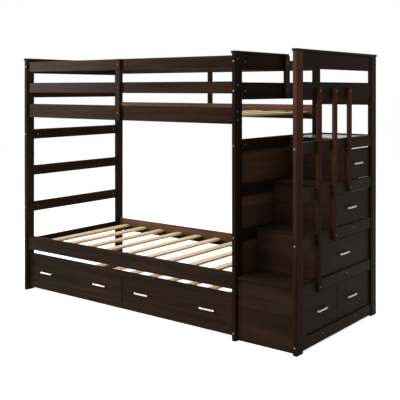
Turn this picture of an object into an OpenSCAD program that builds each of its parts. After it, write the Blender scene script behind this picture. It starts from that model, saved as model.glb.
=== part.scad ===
// Twin-over-twin bunk bed with a storage stair at its right end and a trundle below.
// All sizes in millimetres. X runs along the bed, Y from front to back, Z up.
// Each piece is first laid out from the left post's outer face and the front post faces.
// place() then moves the bed's centre to the origin, with the floor at Z = 0.

/* [Bunk] */
// Length over the bunk's two end frames
bunk_l = 2003; // [1850:1:2200]
// Depth over the post faces, front to back
bed_d = 1076; // [1040:1:1250]
// Height of the posts
post_h = 1780; // [1760:5:1900]
// Width of a post, along the bed
post_w = 28; // [26:1:40]
// Depth of a post, front to back
post_d = 75; // [60:1:85]
// Eased edge along every board and post
arris = 2; // [1:0.5:3]

/* [End frames] */
// Thickness of the boards in the end frames
end_t = 18; // [16:1:22]
// Height of the board under the cap
top_board_h = 101; // [80:1:120]
// Height of the ends' guard rail
end_guard_h = 109; // [80:1:120]
// Gap between the ends' guard rail and top board
end_guard_gap = 79; // [60:1:100]
// Thickness of the cap boards
cap_t = 15; // [12:1:20]
// Overhang of a cap past the post faces
cap_over = 4; // [2:1:12]
// Height of a rung or stair rail
rung_h = 75; // [60:1:90]
// Underside of the first rung above the floor
level_1 = 319; // [310:1:330]
// Rise from one rung, or step, to the next
level_rise = 283; // [270:1:290]
// Floor gap under the stair's bottom rails
floor_gap = 10; // [5:1:25]

/* [Rails and guards] */
// Thickness of the side rails and guard boards
rail_t = 20; // [18:1:25]
// Setback of the side rails from the post faces
rail_setback = 15; // [10:1:20]
// Height of a side rail
side_rail_h = 104; // [90:1:115]
// Top of the lower bunk's side rails
lower_rail_top = 419; // [410:1:430]
// Drop of the upper guard board's top below the post tops
guard_drop = 13; // [8:1:30]
// Height of a guard board
guard_h = 76; // [60:1:80]
// Gap above and below the lower guard board
guard_gap = 86; // [70:1:90]
// Rise of the guard behind the stair over the upper bunk's rails
stair_guard_rise = 4; // [0:1:40]
// Width of the guard battens
batten_w = 42; // [30:1:50]
// Width of the batten at the way onto the upper bunk
end_batten_w = 58; // [40:1:70]
// Thickness of the guard battens
batten_t = 18; // [12:1:22]

/* [Slats] */
// Number of slats in each bunk and in the trundle
slat_n = 10; // [8:1:14]
// Width of a slat
slat_w = 60; // [45:1:70]
// Thickness of a slat
slat_t = 15; // [12:1:20]
// Distance of the slats' top below the side rail's top
slat_drop = 49; // [40:1:60]
// Distance from an end frame to the first slat's middle
slat_end = 90; // [60:1:120]
// Width of a ledger strip
ledger_w = 25; // [20:1:35]
// Height of a ledger strip
ledger_h = 33; // [25:1:35]

/* [Stair] */
// Clear width between the stair's posts
stair_w = 407; // [380:1:500]
// Front edge of the second step behind the post faces
step_2_y = 242; // [230:1:255]
// Run from one step to the next
step_run = 200; // [185:1:205]
// Thickness of the treads and the platform
tread_t = 18; // [15:1:22]
// Setback of the first tread's front edge from the post faces
nose_setback = 12; // [4:1:20]
// Overhang of a tread past the riser below it
nosing = 10; // [6:1:20]
// Rise of the first tread above its side rails
first_rise = 6; // [0:1:10]
// Depth of the upper treads below the tops of their side rails
tread_sink = 9; // [0:1:12]
// Thickness of a riser
riser_t = 15; // [12:1:20]
// Thickness of the closing panel towards the bed
panel_t = 5; // [3:1:5]
// Width of a stile in the outer frame
stile_w = 43; // [35:1:50]
// Thickness of the balusters
baluster_t = 21; // [15:1:25]
// Width of the balusters
baluster_w = 38; // [30:1:43]
// Shift of the balusters from the stiles' middles towards the front of the bed
baluster_shift = 7; // [0:1:12]
// Lap of a baluster over the rail at its foot
baluster_lap = 67; // [50:1:74]
// Lap of a baluster over the guard rail at its head
baluster_head_lap = 74; // [50:1:80]

/* [Drawers] */
// Thickness of a drawer front
front_t = 18; // [15:1:20]
// Setback of the drawer fronts from the outer frame's boards
front_setback = 9; // [4:1:14]
// Gap over a drawer front
front_gap = 4; // [3:0.5:6]
// Gap under a drawer front
front_floor_gap = 2; // [1:0.5:4]
// Gap beside a drawer front
front_side_gap = 3; // [2:0.5:5]
// Gap between the drawer fronts and the back post
front_back_gap = 12; // [6:1:20]
// Middle of the divider between the two bottom drawers, behind the post faces
divider_y = 526; // [480:1:560]
// Height of a drawer side over its front's lower edge
side_drop = 34; // [20:1:50]
// Set-in of a drawer's sides from the ends of its front
side_inset = 16; // [10:1:25]
// Thickness of a drawer's sides and back
side_t = 12; // [9:1:15]
// Thickness of a drawer's bottom
bottom_t = 6; // [4:1:9]
// Width of a centre runner
runner_w = 30; // [24:1:40]
// Height of a centre runner
runner_h = 45; // [35:1:50]

/* [Trundle] */
// Gap between the trundle's back and the back post faces
trundle_back_gap = 34; // [28:1:100]
// Height of the trundle's front
trundle_h = 262; // [220:1:270]
// Floor gap under the trundle's front
trundle_gap = 23; // [15:1:30]
// Setback of the trundle's front from the post faces
trundle_setback = 28; // [20:1:35]
// Gap between the trundle and the posts
trundle_side_gap = 3; // [2:1:8]
// Length of the left half of the trundle's front
trundle_left_l = 940; // [900:1:1000]
// Width of the frame round the front's panels
trundle_frame_w = 37; // [30:1:45]
// Depth of the panels behind the frame
panel_recess = 6; // [3:1:9]
// Top of the trundle's slats
trundle_deck = 75; // [70:1:80]
// Radius of a caster wheel
wheel_r = 20; // [17:0.5:21]
// Width of a caster wheel
wheel_w = 18; // [14:1:20]
// Distance of the casters from the trundle's ends
caster_x = 141; // [120:1:160]
// Distance of the front casters from the trundle's front
caster_front = 110; // [95:1:150]
// Distance of the back casters from the trundle's back
caster_back = 250; // [120:1:300]

/* [Hardware] */
// Length of a handle's bar
handle_l = 135; // [110:1:150]
// Radius of a handle's bar
handle_r = 6; // [5:0.5:7]
// Distance of a handle's bar axis from the front
handle_stand = 20; // [16:1:26]
// Spacing of a handle's two feet
handle_pitch = 96; // [76:1:100]
// Spacing of the two handles on each half of the trundle's front
trundle_handle_pitch = 566; // [400:2:640]
// Shift of those handles towards the stair
trundle_handle_shift = 10; // [0:1:20]
// Shift of the upper drawers' handles towards the front of the bed
handle_shift = 32; // [0:1:40]
// Same shift for the bottom drawers, left and right
handle_shift_left = 14; // [0:1:40]
handle_shift_right = 44; // [0:1:60]
// Rise of a drawer's handle over the middle of its front
handle_rise = 5; // [0:1:20]
// Radius of a bolt's head
bolt_head_r = 6; // [5:0.5:9]
// Radius of a bolt's shank
bolt_r = 3; // [2.5:0.5:4]
// Distance of a barrel nut from the post
nut_inset = 41; // [30:1:60]

/* [Hidden] */
$fn = 32;
eps = 0.01;
// Gap that keeps a sliding piece off what carries it
slide_gap = 0.3;
// Gap round a fastener in its hole
fastener_gap = 0.05;
// Gap at each end of a slat
slat_gap = 2;
// Gap at each end of a ledger
ledger_gap = 1;
// Hairline left at a glued joint
joint_gap = 0.05;

// Colours
espresso = [0.19, 0.13, 0.11];
espresso_light = [0.27, 0.18, 0.15];
pale_wood = [0.86, 0.74, 0.58];
raw_wood = [0.78, 0.62, 0.45];
nickel = [0.78, 0.77, 0.75];
steel = [0.62, 0.62, 0.63];
caster_black = [0.08, 0.08, 0.08];

// Frames along X: left end, stair's inner frame, stair's outer frame
x_mid = bunk_l - post_w;
x_stair = bunk_l + stair_w;
frame_x = [0, x_mid, x_stair];
end_inset = (post_w - end_t) / 2;
// Space between the end frames' boards, and between the stair's two frames
bunk_x0 = end_inset + end_t;
bunk_x1 = x_mid + end_inset;
stair_x0 = x_mid + end_inset + end_t;
stair_x1 = x_stair + end_inset;
outer_face = stair_x1 + end_t;

// Posts and boards along Y
y_back = bed_d - post_d;
board_l = bed_d - 2 * post_d;
rail_back_y = bed_d - rail_setback - rail_t;
bunk_y0 = rail_setback + rail_t;
bunk_y1 = rail_back_y;

// Heights
cap_z = post_h;
top_board_z = post_h - top_board_h;
end_guard_z = top_board_z - end_guard_gap - end_guard_h;
levels = [for (i = [0:3]) level_1 + i * level_rise];
stair_levels = concat([floor_gap], levels);
upper_rail_top = post_h - guard_drop - 2 * (guard_h + guard_gap);
upper_rail_z = upper_rail_top - side_rail_h;
lower_rail_z = lower_rail_top - side_rail_h;
stair_guard_z = upper_rail_top + stair_guard_rise;
guard_z = [upper_rail_top + guard_gap, upper_rail_top + 2 * guard_gap + guard_h];

// Steps: front edge, top and riser of each tread; the last one is the platform
step_y = [nose_setback, for (i = [0:2]) step_2_y + i * step_run];
step_top = [
    levels[0] + rung_h + first_rise,
    for (i = [1:3]) levels[i] + rung_h - tread_sink
];
riser_y = [for (y = step_y) y + nosing];
// Where the inner frame's guard ends, at the way onto the upper bunk
access_y = step_y[3] - cap_over - nosing;

// Slats
slat_pitch = (bunk_x1 - bunk_x0 - 2 * slat_end) / (slat_n - 1);
slat_x = [for (i = [0:slat_n - 1]) bunk_x0 + slat_end + i * slat_pitch];
bunk_mid_x = (bunk_x0 + bunk_x1) / 2;

// Bolt sizes
bolt_head_t = 2;
nut_r = 5;
nut_l = 15;
bolt_past_nut = 8;
// Where a rail's and a guard's bolts sit in its height, clear of the bolts across them
rail_bolt_parts = [0.25, 0.75];
guard_bolt_part = 0.7;
end_bolt_l = post_d + nut_inset + bolt_past_nut;
rail_bolt_l = post_w + nut_inset + bolt_past_nut;
rail_mid_y = rail_setback + rail_t / 2;
top_mid = top_board_z + top_board_h / 2;
end_guard_mid = end_guard_z + end_guard_h / 2;
level_mid = [for (z = stair_levels) z + rung_h / 2];
// Heights of the bolts in the front posts' faces, frame by frame
frame_bolts = [
    [top_mid, level_mid[4], level_mid[2]],
    [end_guard_mid, level_mid[4], level_mid[2], level_mid[0], top_mid],
    [level_mid[4], level_mid[2], level_mid[0]]
];
// The inner frame has no top board at the back
back_bolts = [
    frame_bolts[0],
    [for (i = [0:3]) frame_bolts[1][i]],
    frame_bolts[2]
];
rail_bolt_z = concat(
    [for (z = [lower_rail_z, upper_rail_z], s = rail_bolt_parts) z + s * side_rail_h],
    [for (z = guard_z) z + guard_bolt_part * guard_h]
);

// Screws in the battens and balusters
screw_head_r = 4.5;
screw_crown_r = 3.2;
screw_head_t = 1.5;
screw_r = 2;
screw_bite = 10;

// Balusters
baluster_y = [for (i = [1:3]) step_y[i] + stile_w / 2 - baluster_shift];
baluster_top = end_guard_z + baluster_head_lap;

// Drawers: level of the bay, front and back edge, gap over the front, shift of the handle
drawer_y1 = y_back - front_back_gap;
drawer_bays = [
    [4, step_y[3] + stile_w + front_side_gap, drawer_y1, 2 * front_gap, handle_shift],
    [3, step_y[2] + stile_w + front_side_gap, drawer_y1, front_gap, handle_shift],
    [2, step_y[1] + stile_w + front_side_gap, drawer_y1, front_gap, handle_shift],
    [1, post_d + stile_w + front_side_gap, divider_y - front_side_gap, front_gap, handle_shift_left],
    [1, divider_y + front_side_gap, drawer_y1, front_gap, handle_shift_right]
];
front_x1 = outer_face - front_setback;
front_x0 = front_x1 - front_t;
divider_w = end_t;
divider_gap = 1;
box_back_gap = 12;
box_x0 = stair_x0 + box_back_gap;
guide_h = 12;
guide_w = 15;
guide_l = 60;
guide_gap = 1;
runner_screw_drop = 27;

function bay_floor(d) = stair_levels[d[0] - 1] + rung_h;
function bay_ceiling(d) = stair_levels[d[0]];
function front_z0(d) = bay_floor(d) + front_floor_gap;
function front_z1(d) = bay_ceiling(d) - d[3];
function runner_z1(d) = front_z0(d) - slide_gap;
function bay_centre(d) = (d[1] + d[2]) / 2;

// Handles
handle_foot_r = 5;
handle_screw_r = 2;
handle_screw_head_r = 4;
handle_screw_head_t = 2.5;
handle_screw_bite = 8;

// Trundle
trundle_x0 = post_w + trundle_side_gap;
trundle_x1 = x_mid - trundle_side_gap;
trundle_t = rail_t;
trundle_y0 = trundle_setback;
trundle_y1 = bed_d - trundle_back_gap;
trundle_in_y = trundle_y0 + trundle_t;
trundle_back_y = trundle_y1 - end_t;
deck_z = trundle_deck - slat_t;
bearer_h = 20;
bearer_w = ledger_w;
caster_board_w = 65;
caster_board_t = 12;
caster_board_z = deck_z - caster_board_t;
axle_z = wheel_r;
axle_r = 3;
axle_gap = 0.05;
fork_t = 2;
fork_gap = 0.6;
fork_plate_l = 44;
fork_leg_l = 16;
wheel_xy = [
    for (y = [trundle_y0 + caster_front, trundle_y1 - caster_back],
         x = [trundle_x0 + caster_x, trundle_x1 - caster_x]) [x, y]
];
trundle_l = trundle_x1 - trundle_x0;
trundle_half_mid = [
    trundle_x0 + trundle_left_l / 2,
    (trundle_x0 + trundle_left_l + trundle_x1) / 2
];
trundle_handle_x = [
    for (x = trundle_half_mid, s = [-0.5, 0.5]) x + s * trundle_handle_pitch + trundle_handle_shift
];

// Origin: the middle of the whole bed's footprint
reach = handle_stand + handle_r;
min_x = -cap_over;
max_x = max(front_x1 + reach, outer_face + baluster_t + screw_head_t, x_stair + post_w + cap_over);
min_y = min(-cap_over, trundle_y0 + panel_recess - reach, rail_setback - batten_t - screw_head_t);
max_y = max(bed_d + cap_over, rail_back_y + rail_t + batten_t + screw_head_t);
centre = [(min_x + max_x) / 2, (min_y + max_y) / 2, 0];

module place() {
    translate(-centre) children();
}

// Cross-section of a board with eased edges
module eased(w, h) {
    polygon([
        [arris, 0], [w - arris, 0], [w, arris], [w, h - arris],
        [w - arris, h], [arris, h], [0, h - arris], [0, arris]
    ]);
}

// Boards from a corner, long along X, Y or Z, with their ends cut square
module board_x(from, size) {
    translate(from)
        rotate([90, 0, 90])
            linear_extrude(size.x)
                eased(size.y, size.z);
}

module board_y(from, size) {
    translate(from + [0, size.y, 0])
        rotate([90, 0, 0])
            linear_extrude(size.y)
                eased(size.x, size.z);
}

module board_z(from, size) {
    translate(from)
        linear_extrude(size.z)
            eased(size.x, size.y);
}

// A board of an end frame, between or over the posts
module end_board(frame, z, h, l = board_l) {
    board_y([frame_x[frame] + end_inset, post_d, z], [end_t, l, h]);
}

// A board between the left posts and the stair's inner posts
module long_board(y, z, h) {
    board_x([post_w, y, z], [x_mid - post_w, rail_t, h]);
}

// Bolts: children are drawn with the bolt's axis along +Z from the post's face
module at_front_bolts(frame) {
    for (z = frame_bolts[frame])
        translate([frame_x[frame] + post_w / 2, 0, z])
            rotate([-90, 0, 0])
                children();
}

module at_back_bolts(frame) {
    for (z = back_bolts[frame])
        translate([frame_x[frame] + post_w / 2, bed_d, z])
            rotate([90, 0, 0])
                children();
}

module at_left_rail_bolts(y) {
    for (z = rail_bolt_z)
        translate([0, y, z])
            rotate([0, 90, 0])
                children();
}

// These heads lie flush in the post, so that the stair's boards can butt against it
module at_mid_rail_bolts(y) {
    for (z = rail_bolt_z)
        translate([bunk_l - bolt_head_t, y, z])
            rotate([0, -90, 0])
                children();
}

module bolt(length) {
    translate([0, 0, -bolt_head_t])
        cylinder(h = bolt_head_t, r = bolt_head_r);
    cylinder(h = length, r = bolt_r);
}

module bolt_bore(length) {
    translate([0, 0, -eps])
        cylinder(h = length + eps, r = bolt_r + fastener_gap);
}

module head_bore() {
    translate([0, 0, -bolt_head_t - eps])
        cylinder(h = bolt_head_t + eps, r = bolt_head_r + fastener_gap);
}

// A barrel nut across the bolt, its outer end flush with the board's face
module barrel_nut(length, face, across) {
    difference() {
        translate([0, 0, length])
            rotate(across)
                translate([0, 0, face - nut_l])
                    cylinder(h = nut_l, r = nut_r);
        bolt_bore(length + nut_r * 2);
    }
}

module nut_bore(length, face, across) {
    translate([0, 0, length])
        rotate(across)
            translate([0, 0, face - nut_l - fastener_gap])
                cylinder(h = nut_l + fastener_gap + eps, r = nut_r + fastener_gap);
}

nut_toward_x = [0, 90, 0];
nut_toward_minus_x = [0, -90, 0];
nut_toward_y = [-90, 0, 0];
nut_toward_minus_y = [90, 0, 0];
frame_nut_turn = [nut_toward_x, nut_toward_x, nut_toward_minus_x];

module end_frame_bores(frame) {
    at_front_bolts(frame) {
        bolt_bore(end_bolt_l);
        nut_bore(post_d + nut_inset, end_t / 2, frame_nut_turn[frame]);
    }
    at_back_bolts(frame) {
        bolt_bore(end_bolt_l);
        nut_bore(post_d + nut_inset, end_t / 2, frame_nut_turn[frame]);
    }
}

module front_rail_bores() {
    at_left_rail_bolts(rail_mid_y) {
        bolt_bore(rail_bolt_l);
        nut_bore(post_w + nut_inset, rail_t / 2, nut_toward_y);
    }
    at_mid_rail_bolts(rail_mid_y) {
        bolt_bore(rail_bolt_l);
        nut_bore(post_w + nut_inset, rail_t / 2, nut_toward_y);
    }
}

module back_rail_bores() {
    at_left_rail_bolts(bed_d - rail_mid_y) {
        bolt_bore(rail_bolt_l);
        nut_bore(post_w + nut_inset, rail_t / 2, nut_toward_minus_y);
    }
    at_mid_rail_bolts(bed_d - rail_mid_y) {
        bolt_bore(rail_bolt_l);
        nut_bore(post_w + nut_inset, rail_t / 2, nut_toward_minus_y);
    }
}

// Screws: children are drawn with the screw's axis along +Z into the wood
module screw(length) {
    translate([0, 0, -screw_head_t])
        cylinder(h = screw_head_t, r1 = screw_crown_r, r2 = screw_head_r);
    cylinder(h = length, r = screw_r);
}

module screw_bore(length) {
    translate([0, 0, -eps])
        cylinder(h = length + eps, r = screw_r + fastener_gap);
}

module at_front_batten_screws() {
    for (z = concat([upper_rail_z + side_rail_h / 2], [for (z = guard_z) z + guard_h / 2]))
        translate([bunk_mid_x, rail_setback - batten_t, z])
            rotate([-90, 0, 0])
                children();
}

module at_back_batten_screws() {
    for (z = concat([upper_rail_z + side_rail_h / 2], [for (z = guard_z) z + guard_h / 2]))
        translate([bunk_mid_x, rail_back_y + rail_t + batten_t, z])
            rotate([90, 0, 0])
                children();
}

module at_end_batten_screws() {
    for (z = [end_guard_mid, top_mid])
        translate([stair_x0 + batten_t, access_y - end_batten_w / 2, z])
            rotate([0, -90, 0])
                children();
}

module at_baluster_screws() {
    for (i = [0:2], z = [baluster_bottom_rail(i) + rung_h / 2, end_guard_mid])
        translate([outer_face + baluster_t, baluster_y[i], z])
            rotate([0, -90, 0])
                children();
}

module at_runner_screws() {
    for (d = drawer_bays)
        translate([outer_face, bay_centre(d), bay_floor(d) - runner_screw_drop])
            rotate([0, -90, 0])
                children();
}

function baluster_bottom_rail(i) = stair_levels[i + 1];
batten_screw_l = batten_t + screw_bite;
baluster_screw_l = baluster_t + screw_bite;
runner_screw_l = end_t + 2 * screw_bite;

// Posts
module post(frame, back) {
    y = back ? y_back : 0;
    color(espresso)
        place()
            difference() {
                board_z([frame_x[frame], y, 0], [post_w, post_d, post_h]);
                if (back)
                    at_back_bolts(frame) bolt_bore(end_bolt_l);
                else
                    at_front_bolts(frame) bolt_bore(end_bolt_l);
                if (frame == 0)
                    at_left_rail_bolts(back ? bed_d - rail_mid_y : rail_mid_y) bolt_bore(rail_bolt_l);
                if (frame == 1)
                    at_mid_rail_bolts(back ? bed_d - rail_mid_y : rail_mid_y) {
                        bolt_bore(rail_bolt_l);
                        head_bore();
                    }
            }
}

// End frames
module end_caps() {
    color(espresso)
        place()
            for (frame = [0:2]) {
                end_l = frame == 1 ? access_y : bed_d;
                board_y(
                    [frame_x[frame] - cap_over, -cap_over, cap_z],
                    [post_w + 2 * cap_over, end_l + 2 * cap_over, cap_t]
                );
            }
}

module end_top_boards() {
    color(espresso)
        place()
            difference() {
                for (frame = [0:2])
                    end_board(frame, top_board_z, top_board_h, frame == 1 ? access_y - post_d : board_l);
                for (frame = [0, 1])
                    end_frame_bores(frame);
                at_end_batten_screws() screw_bore(batten_screw_l);
            }
}

module end_guard_rails() {
    color(espresso)
        place()
            difference() {
                for (frame = [0:2])
                    end_board(frame, end_guard_z, end_guard_h);
                end_frame_bores(1);
                at_end_batten_screws() screw_bore(batten_screw_l);
                at_baluster_screws() screw_bore(baluster_screw_l);
            }
}

module left_rungs() {
    color(espresso)
        place()
            difference() {
                for (z = levels)
                    end_board(0, z, rung_h);
                end_frame_bores(0);
            }
}

// Stair frames
module inner_stair_rails() {
    color(espresso)
        place()
            difference() {
                for (z = stair_levels)
                    end_board(1, z, rung_h);
                end_frame_bores(1);
            }
}

module outer_stair_rails() {
    color(espresso)
        place()
            difference() {
                for (z = stair_levels)
                    end_board(2, z, rung_h);
                end_frame_bores(2);
                at_baluster_screws() screw_bore(baluster_screw_l);
                at_runner_screws() screw_bore(runner_screw_l);
            }
}

module stair_back_rails() {
    color(espresso)
        place()
            for (z = [floor_gap, levels[3], stair_guard_z])
                board_x([bunk_l, rail_back_y, z], [stair_w, rail_t, rung_h]);
}

module inner_panel() {
    color(espresso_light)
        place()
            translate([bunk_x1 - panel_t, post_d, levels[0]])
                cube([panel_t, board_l, levels[3] + rung_h - levels[0]]);
}

// Bunk rails and guards
module front_guard_boards() {
    color(espresso)
        place()
            difference() {
                for (z = guard_z)
                    long_board(rail_setback, z, guard_h);
                front_rail_bores();
                at_front_batten_screws() screw_bore(batten_screw_l);
            }
}

module back_guard_boards() {
    color(espresso)
        place()
            difference() {
                for (z = guard_z)
                    long_board(rail_back_y, z, guard_h);
                back_rail_bores();
                at_back_batten_screws() screw_bore(batten_screw_l);
            }
}

module front_rail(z) {
    color(espresso)
        place()
            difference() {
                long_board(rail_setback, z, side_rail_h);
                front_rail_bores();
                at_front_batten_screws() screw_bore(batten_screw_l);
            }
}

module back_rail(z) {
    color(espresso)
        place()
            difference() {
                long_board(rail_back_y, z, side_rail_h);
                back_rail_bores();
                at_back_batten_screws() screw_bore(batten_screw_l);
            }
}

module guard_battens() {
    batten_h = guard_z[1] + guard_h - upper_rail_z;
    color(espresso)
        place()
            difference() {
                union() {
                    board_z(
                        [bunk_mid_x - batten_w / 2, rail_setback - batten_t, upper_rail_z],
                        [batten_w, batten_t, batten_h]
                    );
                    board_z(
                        [bunk_mid_x - batten_w / 2, rail_back_y + rail_t, upper_rail_z],
                        [batten_w, batten_t, batten_h]
                    );
                    board_z(
                        [stair_x0, access_y - end_batten_w, end_guard_z],
                        [batten_t, end_batten_w, post_h - end_guard_z]
                    );
                }
                at_front_batten_screws() screw_bore(batten_screw_l);
                at_back_batten_screws() screw_bore(batten_screw_l);
                at_end_batten_screws() screw_bore(batten_screw_l);
            }
}

// Slats and the ledgers under them
module ledgers() {
    color(espresso)
        place()
            for (top = [lower_rail_top, upper_rail_top], y = [bunk_y0, bunk_y1 - ledger_w])
                board_x(
                    [post_w + ledger_gap, y, top - slat_drop - slat_t - ledger_h],
                    [x_mid - post_w - 2 * ledger_gap, ledger_w, ledger_h]
                );
}

module slats(top) {
    color(pale_wood)
        place()
            for (x = slat_x)
                board_y(
                    [x - slat_w / 2, bunk_y0 + slat_gap, top - slat_t],
                    [slat_w, bunk_y1 - bunk_y0 - 2 * slat_gap, slat_t]
                );
}

// Stair
module front_panel() {
    color(espresso)
        place()
            board_z(
                [bunk_l, riser_y[0], floor_gap / 2],
                [stair_w, tread_t, step_top[0] - tread_t - floor_gap / 2]
            );
}

module treads() {
    color(espresso)
        place()
            for (i = [0:2]) {
                y1 = riser_y[i + 1] + riser_t;
                z = step_top[i] - tread_t;
                x0 = i == 0 ? bunk_l : stair_x0;
                x1 = i == 0 ? x_stair : stair_x1;
                board_x([x0, step_y[i], z], [x1 - x0, y1 - step_y[i], tread_t]);
                // Behind the front posts the first tread widens to the stair's rails
                if (i == 0)
                    translate([stair_x0, post_d, z])
                        cube([stair_x1 - stair_x0, y1 - post_d, tread_t]);
            }
}

module risers() {
    color(espresso_light)
        place()
            for (i = [1:3])
                translate([stair_x0, riser_y[i], step_top[i - 1]])
                    cube([stair_x1 - stair_x0, riser_t, step_top[i] - tread_t - step_top[i - 1]]);
}

module platform() {
    z = step_top[3] - tread_t;
    color(espresso)
        place()
            union() {
                // Between the back posts, up to the rail behind them
                board_x([bunk_l, step_y[3], z], [stair_w, rail_back_y - step_y[3], tread_t]);
                // Between the stair's rails, up to the posts
                translate([stair_x0, step_y[3] + arris, z])
                    cube([stair_x1 - stair_x0, y_back - step_y[3] - arris, tread_t]);
            }
}

module stiles() {
    color(espresso)
        place() {
            // Front bay stile, then one behind each baluster
            for (i = [0:3])
                board_z(
                    [stair_x1, i == 0 ? post_d : step_y[i], stair_levels[i] + rung_h],
                    [end_t, stile_w, stair_levels[i + 1] - stair_levels[i] - rung_h]
                );
            // Divider behind the two bottom drawer fronts, lapped onto the rails
            divider();
        }
}

module divider() {
    z0 = stair_levels[0];
    z1 = stair_levels[1] + rung_h;
    face_x = front_x0 - divider_gap;
    y0 = divider_y - divider_w / 2;
    difference() {
        translate([face_x - divider_w, y0, z0])
            cube([stair_x1 - face_x + divider_w, divider_w, z1 - z0]);
        translate([face_x, y0 - eps, z0 + rung_h])
            cube([stair_x1 - face_x + eps, divider_w + 2 * eps, stair_levels[1] - z0 - rung_h]);
    }
}

module balusters() {
    color(espresso_light)
        place()
            difference() {
                for (i = [0:2]) {
                    z0 = baluster_bottom_rail(i) + rung_h - baluster_lap;
                    board_z(
                        [outer_face, baluster_y[i] - baluster_w / 2, z0],
                        [baluster_t, baluster_w, baluster_top - z0]
                    );
                }
                at_baluster_screws() screw_bore(baluster_screw_l);
            }
}

module drawer_runners() {
    color(raw_wood)
        place()
            difference() {
                for (d = drawer_bays)
                    board_x(
                        [stair_x0, bay_centre(d) - runner_w / 2, runner_z1(d) - runner_h],
                        [stair_x1 - stair_x0, runner_w, runner_h]
                    );
                at_runner_screws() screw_bore(runner_screw_l);
            }
}

// Fasteners of the frame
module bolts() {
    color(steel)
        place() {
            for (frame = [0:2]) {
                at_front_bolts(frame) bolt(end_bolt_l - fastener_gap);
                at_back_bolts(frame) bolt(end_bolt_l - fastener_gap);
            }
            for (y = [rail_mid_y, bed_d - rail_mid_y]) {
                at_left_rail_bolts(y) bolt(rail_bolt_l - fastener_gap);
                at_mid_rail_bolts(y) bolt(rail_bolt_l - fastener_gap);
            }
        }
}

module barrel_nuts() {
    end_nut = post_d + nut_inset;
    rail_nut = post_w + nut_inset;
    color(steel)
        place() {
            for (frame = [0:2]) {
                at_front_bolts(frame) barrel_nut(end_nut, end_t / 2, frame_nut_turn[frame]);
                at_back_bolts(frame) barrel_nut(end_nut, end_t / 2, frame_nut_turn[frame]);
            }
            at_left_rail_bolts(rail_mid_y) barrel_nut(rail_nut, rail_t / 2, nut_toward_y);
            at_mid_rail_bolts(rail_mid_y) barrel_nut(rail_nut, rail_t / 2, nut_toward_y);
            at_left_rail_bolts(bed_d - rail_mid_y) barrel_nut(rail_nut, rail_t / 2, nut_toward_minus_y);
            at_mid_rail_bolts(bed_d - rail_mid_y) barrel_nut(rail_nut, rail_t / 2, nut_toward_minus_y);
        }
}

module screws() {
    color(steel)
        place() {
            at_front_batten_screws() screw(batten_screw_l - fastener_gap);
            at_back_batten_screws() screw(batten_screw_l - fastener_gap);
            at_end_batten_screws() screw(batten_screw_l - fastener_gap);
            at_baluster_screws() screw(baluster_screw_l - fastener_gap);
            at_runner_screws() screw(runner_screw_l - fastener_gap);
        }
}

// Handles: drawn with the front's face at Z = 0 and the bar along X
module handle_bar(r) {
    translate([-handle_l / 2 + handle_r, 0, handle_stand])
        rotate([0, 90, 0])
            cylinder(h = handle_l - 2 * handle_r, r = r);
}

module handle(thickness) {
    handle_bar(handle_r);
    for (s = [-1, 1])
        translate([s * (handle_l / 2 - handle_r), 0, handle_stand])
            sphere(r = handle_r);
    // Two feet, hollowed to seat on the bar and drilled for their screws
    difference() {
        for (s = [-1, 1])
            translate([s * handle_pitch / 2, 0, 0])
                cylinder(h = handle_stand, r = handle_foot_r);
        handle_bar(handle_r + joint_gap);
        at_handle_screws(thickness) handle_screw_bore(thickness);
    }
    at_handle_screws(thickness) handle_screw(thickness);
}

module at_handle_screws(thickness) {
    for (s = [-1, 1])
        translate([s * handle_pitch / 2, 0, -thickness])
            children();
}

module handle_screw(thickness) {
    translate([0, 0, -handle_screw_head_t])
        cylinder(h = handle_screw_head_t, r = handle_screw_head_r);
    cylinder(h = thickness + handle_screw_bite, r = handle_screw_r);
}

module handle_screw_bore(thickness) {
    translate([0, 0, -eps])
        cylinder(h = thickness + handle_screw_bite + fastener_gap + eps, r = handle_screw_r + fastener_gap);
}

// Drawers
module at_drawer_handle(d) {
    translate([front_x1, bay_centre(d) - d[4], (front_z0(d) + front_z1(d)) / 2 + handle_rise])
        rotate([90, 0, 90])
            children();
}

module drawer_front(d) {
    color(espresso)
        place()
            difference() {
                board_y([front_x0, d[1], front_z0(d)], [front_t, d[2] - d[1], front_z1(d) - front_z0(d)]);
                at_drawer_handle(d) at_handle_screws(front_t) handle_screw_bore(front_t);
            }
}

module drawer_box(d) {
    z0 = front_z0(d);
    y0 = d[1] + side_inset;
    y1 = d[2] - side_inset;
    side_l = front_x0 - box_x0;
    side_h = front_z1(d) - side_drop - z0;
    color(raw_wood)
        place() {
            // Bottom, two sides and the back
            translate([box_x0, y0, z0])
                cube([side_l, y1 - y0, bottom_t]);
            for (y = [y0, y1 - side_t])
                translate([box_x0, y, z0 + bottom_t + joint_gap])
                    cube([side_l, side_t, side_h - bottom_t - joint_gap]);
            translate([box_x0, y0 + side_t + joint_gap, z0 + bottom_t + joint_gap])
                cube([side_t, y1 - y0 - 2 * (side_t + joint_gap), side_h - bottom_t - joint_gap]);
            // Two guides under the bottom's back end that straddle the centre runner
            for (s = [-1, 1])
                translate([
                    box_x0,
                    bay_centre(d) + s * (runner_w / 2 + guide_gap + guide_w / 2) - guide_w / 2,
                    z0 - guide_h
                ])
                    cube([guide_l, guide_w, guide_h - joint_gap]);
        }
}

module drawer_handle(d) {
    color(nickel)
        place()
            at_drawer_handle(d) handle(front_t);
}

// Trundle
module at_trundle_handles() {
    for (x = trundle_handle_x)
        translate([x, trundle_y0 + panel_recess, trundle_gap + trundle_h / 2])
            rotate([90, 0, 0])
                children();
}

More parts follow.
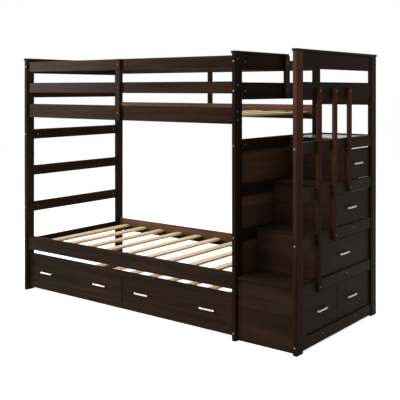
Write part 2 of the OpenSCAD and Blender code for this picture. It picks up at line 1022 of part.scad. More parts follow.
module trundle_front() {
    panel_h = trundle_h - 2 * trundle_frame_w;
    left_l = trundle_left_l - 2 * trundle_frame_w;
    right_l = trundle_l - trundle_left_l - 2 * trundle_frame_w;
    color(espresso)
        place()
            difference() {
                board_x([trundle_x0, trundle_y0, trundle_gap], [trundle_l, trundle_t, trundle_h]);
                for (p = [[trundle_frame_w, left_l], [trundle_left_l + trundle_frame_w, right_l]])
                    translate([trundle_x0 + p[0], trundle_y0 - eps, trundle_gap + trundle_frame_w])
                        cube([p[1], panel_recess + eps, panel_h]);
                at_trundle_handles()
                    at_handle_screws(trundle_t - panel_recess)
                        handle_screw_bore(trundle_t - panel_recess);
            }
}

module trundle_frame() {
    rail_z_h = deck_z - trundle_gap;
    inner_x = trundle_x0 + end_t + joint_gap;
    inner_l = trundle_l - 2 * (end_t + joint_gap);
    board_y0 = trundle_in_y + bearer_w + joint_gap;
    bearer_back_y = trundle_back_y - joint_gap - bearer_w;
    color(espresso)
        place() {
            // Two ends and the back
            for (x = [trundle_x0, trundle_x1 - end_t])
                board_y([x, trundle_in_y, trundle_gap], [end_t, trundle_y1 - trundle_in_y, rail_z_h]);
            board_x([inner_x, trundle_back_y, trundle_gap], [inner_l, end_t, rail_z_h]);
            // Bearers under the slats' ends
            for (y = [trundle_in_y, bearer_back_y])
                board_x([inner_x, y, deck_z - bearer_h], [inner_l, bearer_w, bearer_h]);
            // Boards that carry the casters
            for (x = [trundle_x0 + caster_x, trundle_x1 - caster_x])
                board_y(
                    [x - caster_board_w / 2, board_y0, caster_board_z],
                    [caster_board_w, bearer_back_y - joint_gap - board_y0, caster_board_t]
                );
        }
}

module trundle_slats() {
    color(pale_wood)
        place()
            for (x = slat_x)
                board_y(
                    [x - slat_w / 2, trundle_in_y + slat_gap, deck_z],
                    [slat_w, trundle_y1 - trundle_in_y - 2 * slat_gap, slat_t]
                );
}

module trundle_handles() {
    color(nickel)
        place()
            at_trundle_handles() handle(trundle_t - panel_recess);
}

module caster_fork() {
    leg_in = wheel_w / 2 + fork_gap;
    // Plate under the caster board, two legs and the axle between them
    translate([-leg_in - fork_t, -fork_plate_l / 2, caster_board_z - fork_t])
        cube([2 * (leg_in + fork_t), fork_plate_l, fork_t]);
    for (s = [-1, 1])
        translate([s * (leg_in + fork_t / 2), 0, 0]) {
            translate([-fork_t / 2, -fork_leg_l / 2, axle_z])
                cube([fork_t, fork_leg_l, caster_board_z - fork_t - axle_z]);
            translate([-fork_t / 2, 0, axle_z])
                rotate([0, 90, 0])
                    cylinder(h = fork_t, r = fork_leg_l / 2);
        }
    translate([-leg_in, 0, axle_z])
        rotate([0, 90, 0])
            cylinder(h = 2 * leg_in, r = axle_r);
}

module caster_forks() {
    color(steel)
        place()
            for (p = wheel_xy)
                translate([p.x, p.y, 0])
                    caster_fork();
}

module wheel(p) {
    rim = 2;
    color(caster_black)
        place()
            translate([p.x - wheel_w / 2, p.y, axle_z])
                rotate([90, 0, 90])
                    rotate_extrude($fn = 64)
                        polygon([
                            [axle_r + axle_gap, 0], [wheel_r - rim, 0], [wheel_r, rim],
                            [wheel_r, wheel_w - rim], [wheel_r - rim, wheel_w], [axle_r + axle_gap, wheel_w]
                        ]);
}

post(0, false);  // post_left_front
post(0, true);  // post_left_back
post(1, false);  // post_mid_front
post(1, true);  // post_mid_back
post(2, false);  // post_stair_front
post(2, true);  // post_stair_back
end_caps();
end_top_boards();
end_guard_rails();
left_rungs();
inner_stair_rails();
outer_stair_rails();
stair_back_rails();
inner_panel();
front_guard_boards();
front_rail(upper_rail_z);  // front_upper_rail
front_rail(lower_rail_z);  // front_lower_rail
back_guard_boards();
back_rail(upper_rail_z);  // back_upper_rail
back_rail(lower_rail_z);  // back_lower_rail
guard_battens();
ledgers();
slats(upper_rail_top - slat_drop);  // upper_slats
slats(lower_rail_top - slat_drop);  // lower_slats
front_panel();
treads();
risers();
platform();
stiles();
balusters();
drawer_runners();
bolts();
barrel_nuts();
screws();
trundle_front();
trundle_frame();
trundle_slats();
trundle_handles();
caster_forks();
wheel(wheel_xy[0]);  // wheel_front_left
wheel(wheel_xy[1]);  // wheel_front_right
wheel(wheel_xy[2]);  // wheel_back_left
wheel(wheel_xy[3]);  // wheel_back_right
drawer_front(drawer_bays[0]);  // drawer_top_front
drawer_box(drawer_bays[0]);  // drawer_top_box
drawer_handle(drawer_bays[0]);  // drawer_top_handle
drawer_front(drawer_bays[1]);  // drawer_third_front
drawer_box(drawer_bays[1]);  // drawer_third_box
drawer_handle(drawer_bays[1]);  // drawer_third_handle
drawer_front(drawer_bays[2]);  // drawer_second_front
drawer_box(drawer_bays[2]);  // drawer_second_box
drawer_handle(drawer_bays[2]);  // drawer_second_handle
drawer_front(drawer_bays[3]);  // drawer_left_front
drawer_box(drawer_bays[3]);  // drawer_left_box
drawer_handle(drawer_bays[3]);  // drawer_left_handle
drawer_front(drawer_bays[4]);  // drawer_right_front
drawer_box(drawer_bays[4]);  // drawer_right_box
drawer_handle(drawer_bays[4]);  // drawer_right_handle
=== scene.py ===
import math
from collections import namedtuple

import bmesh
import bpy
from mathutils import Euler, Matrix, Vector


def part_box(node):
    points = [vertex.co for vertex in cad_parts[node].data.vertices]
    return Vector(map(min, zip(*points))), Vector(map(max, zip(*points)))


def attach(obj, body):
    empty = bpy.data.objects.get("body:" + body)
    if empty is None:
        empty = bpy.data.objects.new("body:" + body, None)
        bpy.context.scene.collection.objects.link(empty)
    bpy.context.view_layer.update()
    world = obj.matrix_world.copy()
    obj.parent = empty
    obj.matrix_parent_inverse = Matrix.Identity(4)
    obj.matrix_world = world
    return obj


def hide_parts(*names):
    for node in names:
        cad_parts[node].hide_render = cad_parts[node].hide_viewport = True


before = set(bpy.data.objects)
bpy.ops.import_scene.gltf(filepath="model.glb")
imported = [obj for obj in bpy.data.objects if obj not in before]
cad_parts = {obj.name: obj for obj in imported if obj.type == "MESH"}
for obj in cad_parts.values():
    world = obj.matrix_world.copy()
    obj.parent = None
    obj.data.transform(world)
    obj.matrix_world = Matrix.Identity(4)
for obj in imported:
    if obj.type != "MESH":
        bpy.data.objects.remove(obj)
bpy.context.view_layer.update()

# Camera, fitted to the photograph's straight edges. The photograph is 400 pixels square.
PHOTO_SIDE = 400
CAMERA_PLACE = (3.45985, -4.3586, 1.5566)
CAMERA_YAW = math.radians(37.7)
CAMERA_PITCH = math.radians(-0.07)
CAMERA_ROLL = 0.0
FOCAL_PIXELS = 757.3
LEVEL_POINT = (200.7, 90.05)
SENSOR = 36.0

# How bright the floor looks by itself; the lamps bring it to white, apart from the bed's shadow
FLOOR_GLOW = 0.85
WORLD_LIGHT = 0.12

Wood = namedtuple("Wood", "dark middle light rough gloss pore_depth")

# Colours as they are seen, from 0 to 255, then roughness, specular level and the pores' depth
WOODS = {
    "espresso": Wood((28, 21, 15), (37, 28, 20), (46, 35, 26), 0.42, 0.02, 0.0001),
    # shaded: espresso painted darker, a painted shade for parts that stand in the frame's shadow
    "shaded": Wood((25, 17, 13), (30, 21, 16), (35, 25, 19), 0.45, 0.02, 0.0001),
    "satin": Wood((21, 12, 8), (33, 20, 14), (47, 30, 22), 0.36, 0.042, 0.0001),
    "warm": Wood((22, 12, 8), (34, 20, 14), (48, 30, 22), 0.40, 0.032, 0.0001),
    "reddish": Wood((38, 22, 15), (46, 28, 20), (56, 35, 26), 0.40, 0.012, 0.0001),
    "panel": Wood((65, 49, 38), (76, 57, 44), (86, 66, 51), 0.45, 0.02, 0.00008),
    "riser": Wood((42, 30, 24), (51, 37, 30), (60, 43, 34), 0.42, 0.02, 0.0001),
    "olive": Wood((34, 26, 16), (41, 31, 18), (48, 37, 22), 0.42, 0.02, 0.0001),
    "polished": Wood((32, 22, 16), (38, 27, 20), (46, 33, 25), 0.36, 0.05, 0.00006),
    # A lighter copy of espresso: painted light on the back rails' inner faces, where the front light
    # falls
    "walnut": Wood((78, 56, 41), (92, 67, 50), (107, 80, 61), 0.45, 0.02, 0.0001),
    "pale": Wood((226, 192, 146), (242, 215, 174), (249, 229, 196), 0.58, 0.03, 0.00013),
    "raw": Wood((150, 112, 74), (184, 146, 103), (205, 170, 128), 0.58, 0.03, 0.00013),
}
NICKEL = (206, 198, 187)
# Nickel painted darker, a painted shade on the drawers' pulls
SHADED_NICKEL = (176, 167, 153)
ZINC = (112, 109, 106)
RUBBER = (26, 26, 27)

# Two points closer than this are one point of a solid
WELD = 0.000002
SMOOTH_TO = math.radians(35)

# Domed heads on bolts and screws, and their dome as shares of the radius and the rise
CAP_SIDES = 48
CAP_RISE = 0.0008
CAP_FLOOR = 0.0001
CAP_SHARE = 0.95
CAP_DOME = ((1.0, 0.3), (0.9, 0.75), (0.7, 1.0))

# Recesses in those heads, as shares of the head's radius
HEX_FLAT = 0.42
CROSS_CORE = 0.14
CROSS_ARM = 0.44
CROSS_SHARPNESS = 6

# Bow pulls: half the length, distance off the front, and half the section's width and thickness
PULL_HALF = 0.059
PULL_STAND = 0.021
PULL_HALF_W = 0.0058
PULL_HALF_T = 0.0034
# How square the bow is, and by what share it is narrower at its feet
PULL_SQUARE = 7.0
PULL_TAPER = 0.25
PULL_STEPS = 56
PULL_SIDES = 20

# Mouldings in the two panels of the trundle's front, and those panels' places
MOULDING_W = 0.005
MOULDING_H = 0.004
MOULDING_STEPS = 6
PANEL_FRAME_W = 0.037
PANEL_RECESS = 0.006
TRUNDLE_LEFT_L = 0.94

# The CAD's bar handles: a bar is longer than this, and its axis stands this far off the front
BAR_LEAST = 0.1
BAR_STAND = 0.02
# The heads of their screws, and how closely a solid has to match one
SCREW_HEAD_W = 0.008
SCREW_HEAD_T = 0.0025
SCREW_MATCH = 0.0002

# The noise values between which a property goes from one end of its range to the other
NOISE_SPAN = (0.3, 0.7)

# The wood's figure: noise values of its three tones, and scales per metre for each grain direction
FIGURE_STOPS = (0.34, 0.5, 0.68)
GRAIN = {"x": (1.2, 26.0, 26.0), "y": (26.0, 1.2, 26.0), "z": (26.0, 26.0, 1.2)}
# Its slow drift of tone and its pores: their scales as shares of the figure's, and their ranges
DRIFT_SCALE = 0.12
DRIFT_RANGE = (0.86, 1.12)
PORE_SCALE = 9.0
PORE_ROUGHNESS = (-0.06, 0.08)

# The stain's slow change of hue: its scale in patches per metre, and linear factors at its ends
BLOTCH = (3.5, 3.5, 3.5)
BLOTCH_SPAN = (0.35, 0.7)
COOL_TINT = (0.90, 1.0, 0.96)
WARM_TINT = (1.27, 1.0, 0.87)
STAINED = ("espresso", "shaded", "satin", "warm", "reddish", "panel", "riser", "olive", "polished")

# The sheen of the lacquer on these woods takes the stain's colour
SHEEN_TINTED = ("satin", "warm", "reddish", "shaded")
SHEEN_TINT = (1.0, 0.62, 0.46, 1.0)

# Rounding of the boards' edges, as the shader sees it
EDGE_RADIUS = 0.0015

# Woods painted lighter higher up, a painted highlight that brightens them towards the top: heights in
# metres, and linear factors there
PAINTED_TOP_LIGHT = ("reddish",)
TOP_LIGHT_RAMP = (0.4, 1.75, 0.8, 3.0)

# Metals: share of the tone in worn places, noise values of wear, brush lines' depth and roughness
WORN = 0.88
WEAR_STOPS = (0.35, 0.6)
WEAR_SCALE = (60, 60, 60)
BRUSH_DEPTH = 0.00003
BRUSH_ROUGHNESS = (-0.05, 0.07)

# Rubber: how much lighter it is in places, that noise's values and scale, and its moulded grain
RUBBER_LIFT = 14
RUBBER_STOPS = (0.35, 0.7)
RUBBER_SCALE = (90, 90, 90)
RUBBER_GRAIN = (900, 900, 900)
RUBBER_DEPTH = 0.00005
RUBBER_ROUGHNESS = (0.55, 0.7)

# Map Range's sockets for vectors, which have the same names as those for numbers
MAP_VECTOR, MAP_FROM_MIN, MAP_FROM_MAX, MAP_TO_MIN, MAP_TO_MAX = range(6, 11)
MAP_VECTOR_OUT = 1

# The floor's half width, its distance below the feet and its grey
FLOOR_HALF = 12
FLOOR_DROP = 0.0005
FLOOR_GREY = (0.9, 0.9, 0.9, 1)
FLOOR_ROUGHNESS = 0.9
WORLD_TINT = (0.97, 0.985, 1, 1)
WHITE = (1, 1, 1, 1)

# Area lamps: place, the point that they face, size in metres and power in watts
Lamp = namedtuple("Lamp", "place target size power")
LAMPS = {
    "window": Lamp((-5.6, -4.2, 1.9), (0, 0, 1.3), (2.0, 2.0), 240),
    "front": Lamp((-0.8, -4.2, 3.3), (0, 0, 0.6), (1.8, 1.8), 85),
    "right": Lamp((3.0, -4.6, 3.2), (0.6, 0, 0.9), (2.2, 2.2), 42),
    "right_back": Lamp((4.6, 2.2, 2.8), (1.0, 0, 1.0), (1.4, 1.4), 6),
    "top": Lamp((-0.3, -0.4, 4.0), (-0.3, 0, 0.4), (2.4, 1.6), 85),
    "back": Lamp((-0.5, 4.4, 2.6), (0, 0, 0.9), (3.0, 2.0), 40),
}


def linear(colour):
    """A colour seen as 0 to 255, as the linear RGBA that Blender's sockets take."""
    out = []
    for c in colour:
        c = c / 255
        out.append(c / 12.92 if c <= 0.04045 else ((c + 0.055) / 1.055) ** 2.4)
    return (*out, 1.0)


class Nodes:
    """A small helper that makes and links the nodes of one material."""

    def __init__(self, name):
        self.material = bpy.data.materials.new(name)
        self.material.use_nodes = True
        self.tree = self.material.node_tree
        self.shader = self.tree.nodes["Principled BSDF"]

    def add(self, kind, **values):
        made = self.tree.nodes.new(kind)
        for key, value in values.items():
            if key in made.inputs:
                made.inputs[key].default_value = value
            else:
                setattr(made, key, value)
        return made

    def link(self, out, into):
        self.tree.links.new(out, into)

    def noise(self, scale_xyz, detail, roughness=0.6):
        """Noise in the object's own frame, stretched by a scale along each axis."""
        place = self.add("ShaderNodeTexCoord")
        stretch = self.add("ShaderNodeMapping")
        stretch.inputs["Scale"].default_value = scale_xyz
        made = self.add("ShaderNodeTexNoise", Scale=1.0, Detail=detail, Roughness=roughness)
        self.link(place.outputs["Object"], stretch.inputs["Vector"])
        self.link(stretch.outputs["Vector"], made.inputs["Vector"])
        return made.outputs["Fac"]

    def ramp(self, fac, stops):
        made = self.add("ShaderNodeValToRGB")
        elements = made.color_ramp.elements
        while len(elements) < len(stops):
            elements.new(0.5)
        for element, (at, colour) in zip(elements, stops):
            element.position = at
            element.color = linear(colour)
        self.link(fac, made.inputs["Fac"])
        return made.outputs["Color"]

    def map_range(self, value, numbers, **values):
        """Maps a number; numbers are From Min, From Max, To Min and To Max."""
        made = self.add("ShaderNodeMapRange", **values)
        for socket, number in zip(("From Min", "From Max", "To Min", "To Max"), numbers):
            made.inputs[socket].default_value = number
        self.link(value, made.inputs["Value"])
        return made.outputs["Result"]

    def span(self, fac, low, high):
        """Maps the middle part of a noise's values onto low to high."""
        return self.map_range(fac, (*NOISE_SPAN, low, high))

    def multiplied(self, colour, factor):
        """A colour times another colour, a vector or a number."""
        made = self.add("ShaderNodeMix", data_type="RGBA", blend_type="MULTIPLY")
        made.inputs["Factor"].default_value = 1.0
        self.link(colour, made.inputs["A"])
        self.link(factor, made.inputs["B"])
        return made.outputs["Result"]

    def tinted(self, colour, fac):
        """Multiplies a colour by a cool tint where a noise is low, and a warm one where it is high."""
        tint = self.add("ShaderNodeMapRange", data_type="FLOAT_VECTOR")
        tint.inputs[MAP_FROM_MIN].default_value = (BLOTCH_SPAN[0],) * 3
        tint.inputs[MAP_FROM_MAX].default_value = (BLOTCH_SPAN[1],) * 3
        tint.inputs[MAP_TO_MIN].default_value = COOL_TINT
        tint.inputs[MAP_TO_MAX].default_value = WARM_TINT
        self.link(fac, tint.inputs[MAP_VECTOR])
        return self.multiplied(colour, tint.outputs[MAP_VECTOR_OUT])

    def top_lit(self, colour):
        """Multiplies a colour by a factor that rises with the height over the floor: a painted
        highlight, lighter towards the top.
        """
        place = self.add("ShaderNodeTexCoord")
        parts = self.add("ShaderNodeSeparateXYZ")
        self.link(place.outputs["Object"], parts.inputs["Vector"])
        rise = self.map_range(parts.outputs["Z"], TOP_LIGHT_RAMP, interpolation_type="SMOOTHSTEP")
        return self.multiplied(colour, rise)

    def bump(self, height, distance, eased=False):
        made = self.add("ShaderNodeBump", Distance=distance)
        self.link(height, made.inputs["Height"])
        if eased:
            edge = self.add("ShaderNodeBevel", samples=4, Radius=EDGE_RADIUS)
            self.link(edge.outputs["Normal"], made.inputs["Normal"])
        self.link(made.outputs["Normal"], self.shader.inputs["Normal"])


def wood(name, tone, grain):
    """Sawn and planed wood: long figure, fine pores and a slow drift of tone, along one axis."""
    n = Nodes(name)
    kind = WOODS[tone]
    along = Vector(GRAIN[grain])
    tones = zip(FIGURE_STOPS, (kind.dark, kind.middle, kind.light))
    figure = n.ramp(n.noise(along, 5.0), list(tones))
    drift = n.span(n.noise(along * DRIFT_SCALE, 2.0), *DRIFT_RANGE)
    colour = n.multiplied(figure, drift)
    if tone in STAINED:
        colour = n.tinted(colour, n.noise(BLOTCH, 2.0))
    if tone in SHEEN_TINTED:
        n.shader.inputs["Specular Tint"].default_value = SHEEN_TINT
    # Painted highlight: these woods are painted lighter towards the top
    if tone in PAINTED_TOP_LIGHT:
        colour = n.top_lit(colour)
    n.link(colour, n.shader.inputs["Base Color"])
    pores = n.noise(along * PORE_SCALE, 3.0, 0.75)
    smooth, coarse = (kind.rough + change for change in PORE_ROUGHNESS)
    n.link(n.span(pores, smooth, coarse), n.shader.inputs["Roughness"])
    n.bump(pores, kind.pore_depth, eased=True)
    n.shader.inputs["Specular IOR Level"].default_value = kind.gloss
    return n.material


def metal(name, tone, rough, brush):
    """Plated metal with fine brush lines and slight wear."""
    n = Nodes(name)
    n.shader.inputs["Metallic"].default_value = 1.0
    darker = tuple(int(c * WORN) for c in tone)
    wear = n.ramp(n.noise(WEAR_SCALE, 3.0), list(zip(WEAR_STOPS, (darker, tone))))
    n.link(wear, n.shader.inputs["Base Color"])
    lines = n.noise(brush, 2.0)
    smooth, coarse = (rough + change for change in BRUSH_ROUGHNESS)
    n.link(n.span(lines, smooth, coarse), n.shader.inputs["Roughness"])
    n.bump(lines, BRUSH_DEPTH)
    return n.material


def rubber(name):
    """Dark moulded rubber with a fine grain."""
    n = Nodes(name)
    lighter = tuple(c + RUBBER_LIFT for c in RUBBER)
    shade = n.ramp(n.noise(RUBBER_SCALE, 3.0), list(zip(RUBBER_STOPS, (RUBBER, lighter))))
    n.link(shade, n.shader.inputs["Base Color"])
    grain = n.noise(RUBBER_GRAIN, 2.0)
    n.link(n.span(grain, *RUBBER_ROUGHNESS), n.shader.inputs["Roughness"])
    n.bump(grain, RUBBER_DEPTH)
    return n.material


def make_materials():
    made = {"nickel": metal("satin_nickel", NICKEL, 0.3, (40, 900, 900))}
    made["nickel_y"] = metal("satin_nickel_y", SHADED_NICKEL, 0.3, (900, 40, 900))
    made["zinc"] = metal("zinc_steel", ZINC, 0.35, (300, 300, 300))
    made["rubber"] = rubber("caster_rubber")
    for name in FINISH:
        kind, _, grain = name.partition("_")
        if kind in WOODS:
            made[name] = wood(name + "_wood", kind, grain)
    return made


DRAWERS = ("drawer_top", "drawer_third", "drawer_second", "drawer_left", "drawer_right")

# Which finish, and which way the grain runs, on each CAD node
FINISH = {
    "espresso_z": ["post_left_front", "post_left_back", "post_stair_back", "stiles"],
    # Painted shade: the middle posts take the darker shaded copy of espresso
    "shaded_z": ["post_mid_front", "post_mid_back"],
    "reddish_z": ["post_stair_front", "balusters"],
    "satin_z": ["guard_battens"],
    "espresso_y": ["end_caps", "left_rungs"],
    "olive_y": ["outer_stair_rails"] + [drawer + "_front" for drawer in DRAWERS],
    # Painted shade: these rails and boards take the darker shaded copy of espresso
    "shaded_y": ["inner_stair_rails", "end_top_boards", "end_guard_rails"],
    "panel_y": ["inner_panel"],
    "satin_x": ["front_guard_boards"],
    "warm_x": ["front_upper_rail"],
    # Painted light: the back rails take the lighter copy of espresso
    "walnut_x": ["back_upper_rail", "back_lower_rail"],
    "espresso_x": ["stair_back_rails", "front_lower_rail", "back_guard_boards", "front_panel",
                   "treads", "trundle_front", "trundle_frame", "ledgers"],
    "riser_x": ["risers"],
    "polished_x": ["platform"],
    "pale_y": ["upper_slats", "lower_slats", "trundle_slats"],
    "raw_x": ["drawer_runners"] + [drawer + "_box" for drawer in DRAWERS],
    # Painted shade: the drawers' pulls take the darker copy of nickel
    "nickel_y": [drawer + "_handle" for drawer in DRAWERS],
    "nickel": ["trundle_handles"],
    "zinc": ["bolts", "barrel_nuts", "screws", "caster_forks"],
    "rubber": ["wheel_front_left", "wheel_front_right", "wheel_back_left", "wheel_back_right"],
}


def dress_frame(materials):
    for finish, nodes in FINISH.items():
        for name in nodes:
            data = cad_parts[name].data
            data.materials.clear()
            data.materials.append(materials[finish])


Solid = namedtuple("Solid", "points lo hi")


def solids_of(name):
    """The separate solids of a CAD node, each as its points and its box's corners."""
    made = bmesh.new()
    made.from_mesh(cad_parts[name].data)
    bmesh.ops.remove_doubles(made, verts=made.verts, dist=WELD)
    found = set()
    solids = []
    for start in made.verts:
        if start in found:
            continue
        found.add(start)
        reached = [start]
        for vert in reached:
            for edge in vert.link_edges:
                other = edge.other_vert(vert)
                if other not in found:
                    found.add(other)
                    reached.append(other)
        points = [vert.co.copy() for vert in reached]
        lo = Vector([min(point[i] for point in points) for i in range(3)])
        hi = Vector([max(point[i] for point in points) for i in range(3)])
        solids.append(Solid(points, lo, hi))
    made.free()
    return solids


def long_axis(solid):
    size = solid.hi - solid.lo
    return max(range(3), key=lambda i: size[i])


def head_of(fastener):
    """The middle of a fastener's head, the direction in which it faces and its radius."""
    along = long_axis(fastener)
    middle = (fastener.lo + fastener.hi) / 2
    ends = []
    for end, sign in ((fastener.lo[along], -1), (fastener.hi[along], 1)):
        rim = []
        for point in fastener.points:
            if abs(point[along] - end) < WELD:
                offset = point - middle
                offset[along] = 0
                rim.append(offset.length)
        ends.append((max(rim), end, sign))
    radius, end, sign = max(ends)
    middle[along] = end
    facing = Vector()
    facing[along] = sign
    return middle, facing, radius


def hexagon(angle):
    """Radius of a hexagonal socket at an angle, as a share of the head's."""
    sixth = math.pi / 3
    return HEX_FLAT / math.cos((angle + sixth / 2) % sixth - sixth / 2)


def cross(angle):
    """Radius of a cross recess at an angle, as a share of the head's."""
    return CROSS_CORE + CROSS_ARM * abs(math.cos(2 * angle)) ** CROSS_SHARPNESS


def add_cap(made, place, facing, radius, base, recess):
    """A domed head with a recess: rings from the base, over the edge and down into the recess."""
    turn = facing.to_track_quat("Z", "Y")
    profile = [(1.0, -base)] + [(share, rise * CAP_RISE) for share, rise in CAP_DOME]
    rings = []
    for k in range(len(profile) + 2):
        ring = []
        for i in range(CAP_SIDES):
            angle = 2 * math.pi * i / CAP_SIDES
            if k < len(profile):
                share, rise = profile[k]
            else:
                share = recess(angle)
                rise = CAP_RISE if k == len(profile) else CAP_FLOOR
            point = Vector((math.cos(angle), math.sin(angle), 0)) * share * radius
            point.z = rise
            ring.append(made.verts.new(place + turn @ point))
        rings.append(ring)
    bridge(made, rings)


def bridge(made, rings):
    """Joins rings of points with faces and closes both ends."""
    for one, two in zip(rings, rings[1:]):
        for i in range(len(one)):
            j = (i + 1) % len(one)
            made.faces.new((one[i], one[j], two[j], two[i]))
    made.faces.new(reversed(rings[0]))
    made.faces.new(rings[-1])


def add_pull(made, middle, along, out):
    """A bow pull: half a squared ellipse for its path, and a flat oval section, narrower at the feet."""
    up = Vector((0, 0, 1))
    path = []
    for i in range(PULL_STEPS + 1):
        angle = math.pi * i / PULL_STEPS
        reach = math.copysign(abs(math.cos(angle)) ** (2 / PULL_SQUARE), math.cos(angle))
        rise = abs(math.sin(angle)) ** (2 / PULL_SQUARE)
        path.append(middle + along * reach * PULL_HALF + out * rise * PULL_STAND)
    rings = []
    for i, point in enumerate(path):
        ahead = path[min(i + 1, PULL_STEPS)]
        behind = path[max(i - 1, 0)]
        side = (ahead - behind).normalized().cross(up)
        low = 1 - (point - middle).dot(out) / PULL_STAND
        half_w = PULL_HALF_W * (1 - PULL_TAPER * low)
        ring = []
        for k in range(PULL_SIDES):
            angle = 2 * math.pi * k / PULL_SIDES
            ring.append(made.verts.new(
                point + up * half_w * math.cos(angle) + side * PULL_HALF_T * math.sin(angle)))
        rings.append(ring)
    bridge(made, rings)


def make_piece(name, made, material, body):
    bmesh.ops.recalc_face_normals(made, faces=made.faces)
    mesh = bpy.data.meshes.new(name)
    made.to_mesh(mesh)
    made.free()
    for face in mesh.polygons:
        face.use_smooth = True
    mesh.set_sharp_from_angle(angle=SMOOTH_TO)
    mesh.materials.append(material)
    piece = bpy.data.objects.new(name, mesh)
    bpy.context.collection.objects.link(piece)
    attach(piece, body)
    return piece


def make_pulls(node, body, along, out, material):
    """Replaces a CAD node of straight bar handles by bow pulls on the same screws."""
    made = bmesh.new()
    for solid in solids_of(node):
        size = solid.hi - solid.lo
        if max(size) > BAR_LEAST:
            middle = (solid.lo + solid.hi) / 2
            add_pull(made, middle - out * BAR_STAND, along, out)
        elif abs(min(size) - SCREW_HEAD_W) < SCREW_MATCH:
            place, facing, radius = head_of(solid)
            add_cap(made, place, facing, radius, SCREW_HEAD_T, cross)
    piece = make_piece(node + "_bow", made, material, body)
    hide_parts(node)


def make_mouldings(material):
    """A quarter-round moulding along the four sides of each sunk panel of the trundle's front."""
    lo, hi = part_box("trundle_front")
    panel_y = lo[1] + PANEL_RECESS
    made = bmesh.new()
    z0, z1 = lo[2] + PANEL_FRAME_W, hi[2] - PANEL_FRAME_W
    split = lo[0] + TRUNDLE_LEFT_L
    for left, right in ((lo[0], split), (split, hi[0])):
        x0, x1 = left + PANEL_FRAME_W, right - PANEL_FRAME_W
        corners = ((x0, z0), (x1, z0), (x1, z1), (x0, z1))
        middle = ((x0 + x1) / 2, (z0 + z1) / 2)
        profile = [(0, 0)]
        for k in range(MOULDING_STEPS + 1):
            angle = math.pi / 2 * k / MOULDING_STEPS
            profile.append((MOULDING_W * math.sin(angle), MOULDING_H * math.cos(angle)))
        rings = []
        for inset, rise in profile:
            ring = []
            for x, z in corners:
                x += math.copysign(inset, middle[0] - x)
                z += math.copysign(inset, middle[1] - z)
                ring.append(made.verts.new((x, panel_y - rise, z)))
            rings.append(ring)
        for one, two in zip(rings, rings[1:] + rings[:1]):
            for i in range(4):
                j = (i + 1) % 4
                made.faces.new((one[i], one[j], two[j], two[i]))
    make_piece("trundle_mouldings", made, material, "trundle")


def make_caps(name, node, recess, material):
    """Domes and recesses on the heads of a node's fasteners."""
    made = bmesh.new()
    for solid in solids_of(node):
        place, facing, radius = head_of(solid)
        add_cap(made, place, facing, radius * CAP_SHARE, 0.0, recess)
    make_piece(name, made, material, "frame")


def make_pieces(materials):
    x, y = Vector((1, 0, 0)), Vector((0, 1, 0))
    make_pulls("trundle_handles", "trundle", x, -y, materials["nickel"])
    for drawer in DRAWERS:
        make_pulls(drawer + "_handle", drawer, y, x, materials["nickel_y"])
    make_mouldings(materials["riser_x"])
    make_caps("bolt_sockets", "bolts", hexagon, materials["zinc"])
    make_caps("screw_recesses", "screws", cross, materials["zinc"])


def make_camera():
    data = bpy.data.cameras.new("camera")
    data.sensor_width = SENSOR
    data.lens = FOCAL_PIXELS / PHOTO_SIDE * SENSOR
    data.shift_x = (PHOTO_SIDE / 2 - LEVEL_POINT[0]) / PHOTO_SIDE
    data.shift_y = (LEVEL_POINT[1] - PHOTO_SIDE / 2) / PHOTO_SIDE
    data.clip_end = 100
    camera = bpy.data.objects.new("camera", data)
    camera.location = CAMERA_PLACE
    camera.rotation_euler = Euler((math.pi / 2 + CAMERA_PITCH, CAMERA_ROLL, CAMERA_YAW))
    bpy.context.collection.objects.link(camera)
    bpy.context.scene.camera = camera


def make_lamp(name, kind):
    data = bpy.data.lights.new(name, "AREA")
    data.shape = "RECTANGLE"
    data.size, data.size_y = kind.size
    data.energy = kind.power
    lamp = bpy.data.objects.new(name, data)
    lamp.location = kind.place
    ahead = Vector(kind.target) - Vector(kind.place)
    lamp.rotation_euler = ahead.to_track_quat("-Z", "Y").to_euler()
    bpy.context.collection.objects.link(lamp)


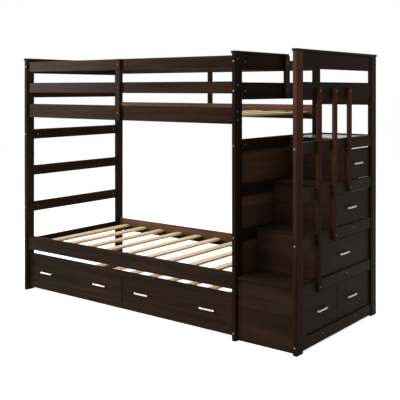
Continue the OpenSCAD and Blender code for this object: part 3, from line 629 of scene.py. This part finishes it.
def seen_rays(nodes, links):
    """1 on rays from the camera, a mirror or glass, and 0 on those that light the object."""
    rays = nodes.new("ShaderNodeLightPath")
    total = rays.outputs["Is Camera Ray"]
    for kind in ("Is Glossy Ray", "Is Transmission Ray"):
        either = nodes.new("ShaderNodeMath")
        either.operation = "MAXIMUM"
        links.new(total, either.inputs[0])
        links.new(rays.outputs[kind], either.inputs[1])
        total = either.outputs["Value"]
    return total


def make_world():
    """White to the camera; a softer, even light on the object."""
    world = bpy.data.worlds.new("studio")
    world.use_nodes = True
    bpy.context.scene.world = world
    tree = world.node_tree
    nodes, links = tree.nodes, tree.links
    nodes.clear()
    shown = seen_rays(nodes, links)
    seen = nodes.new("ShaderNodeBackground")
    seen.inputs["Color"].default_value = WHITE
    lit = nodes.new("ShaderNodeBackground")
    lit.inputs["Color"].default_value = WORLD_TINT
    lit.inputs["Strength"].default_value = WORLD_LIGHT
    mix = nodes.new("ShaderNodeMixShader")
    out = nodes.new("ShaderNodeOutputWorld")
    links.new(shown, mix.inputs["Fac"])
    links.new(lit.outputs["Background"], mix.inputs[1])
    links.new(seen.outputs["Background"], mix.inputs[2])
    links.new(mix.outputs["Shader"], out.inputs["Surface"])


def make_floor():
    mesh = bpy.data.meshes.new("floor")
    made = bmesh.new()
    bmesh.ops.create_grid(made, x_segments=1, y_segments=1, size=FLOOR_HALF)
    made.to_mesh(mesh)
    made.free()
    floor = bpy.data.objects.new("floor", mesh)
    floor.location.z = -FLOOR_DROP
    bpy.context.collection.objects.link(floor)
    material = bpy.data.materials.new("floor")
    material.use_nodes = True
    shader = material.node_tree.nodes["Principled BSDF"]
    shader.inputs["Base Color"].default_value = FLOOR_GREY
    shader.inputs["Roughness"].default_value = FLOOR_ROUGHNESS
    shader.inputs["Emission Color"].default_value = WHITE
    nodes, links = material.node_tree.nodes, material.node_tree.links
    glow = nodes.new("ShaderNodeMath")
    glow.operation = "MULTIPLY"
    glow.inputs[1].default_value = FLOOR_GLOW
    links.new(seen_rays(nodes, links), glow.inputs[0])
    links.new(glow.outputs["Value"], shader.inputs["Emission Strength"])
    mesh.materials.append(material)


materials = make_materials()
dress_frame(materials)
make_pieces(materials)
make_camera()
make_world()
make_floor()
for name, kind in LAMPS.items():
    make_lamp(name, kind)

bpy.context.scene.view_settings.view_transform = "Standard"
